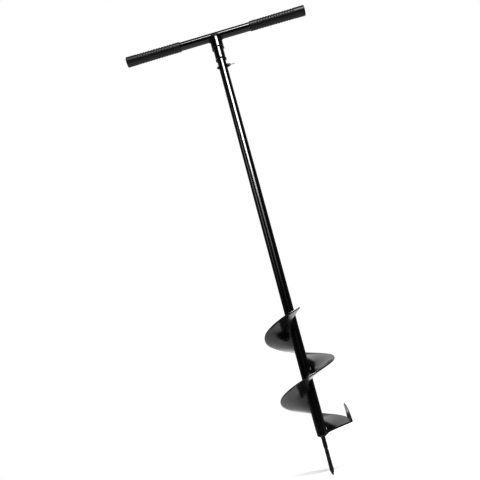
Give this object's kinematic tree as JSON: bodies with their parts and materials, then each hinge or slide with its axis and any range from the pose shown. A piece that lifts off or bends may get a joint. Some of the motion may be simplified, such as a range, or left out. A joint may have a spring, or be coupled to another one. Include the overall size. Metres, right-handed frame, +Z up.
{
  "type": "post hole digger",
  "caption": "T-handled hand auger: round handlebar with ribbed grips, tubular shaft, right-hand flight with a side cutter and a threaded pilot point.",
  "frame": {"origin": "point of the pilot screw, on the shaft's axis", "axes": "+Z up the shaft to the handle, +X along the handlebar, +Y away from the side that the flight's upper end faces"},
  "size_m": [0.54, 0.1518, 1.2408],
  "materials": {
    "black_paint": "gloss black powder coat",
    "flight_paint": "satin black powder coat",
    "grip_rubber": "ribbed matte black rubber",
    "screw_steel": "black oxide steel",
    "pin_steel": "dark zinc plated steel",
    "spring_steel": "bright steel",
    "bare_steel": "bare mill steel, hidden inside"
  },
  "bodies": {
    "auger": {"handlebar_tube": "black_paint", "left_grip": "grip_rubber", "right_grip": "grip_rubber", "handle_socket": "black_paint", "socket_collar": "black_paint", "collar_weld": "black_paint", "spigot": "bare_steel", "rosette_welds": "bare_steel", "shaft_tube": "black_paint", "flight": "flight_paint", "flight_welds": "flight_paint", "side_cutter": "flight_paint", "cutter_weld": "flight_paint", "end_plug": "bare_steel", "pilot_screw": "screw_steel", "tip_weld": "black_paint"},
    "lock_pin": {"lock_pin": "pin_steel", "detent_ball": "spring_steel", "detent_spring": "spring_steel"},
    "pull_ring": {"pull_ring": "pin_steel"}
  },
  "joints": [
    {"name": "lock_pin_slide", "type": "slide", "parent": "auger", "child": "lock_pin", "axis": [1, 0, 0], "range_m": [0, 0.045], "deforming": ["detent_spring", "detent_ball"]},
    {"name": "pull_ring_swing", "type": "hinge", "parent": "lock_pin", "child": "pull_ring", "pos_m": [0.019, 0, 1.119], "axis": [0, 0.8192, 0.5736], "range_deg": [-95, 95]}
  ]
}
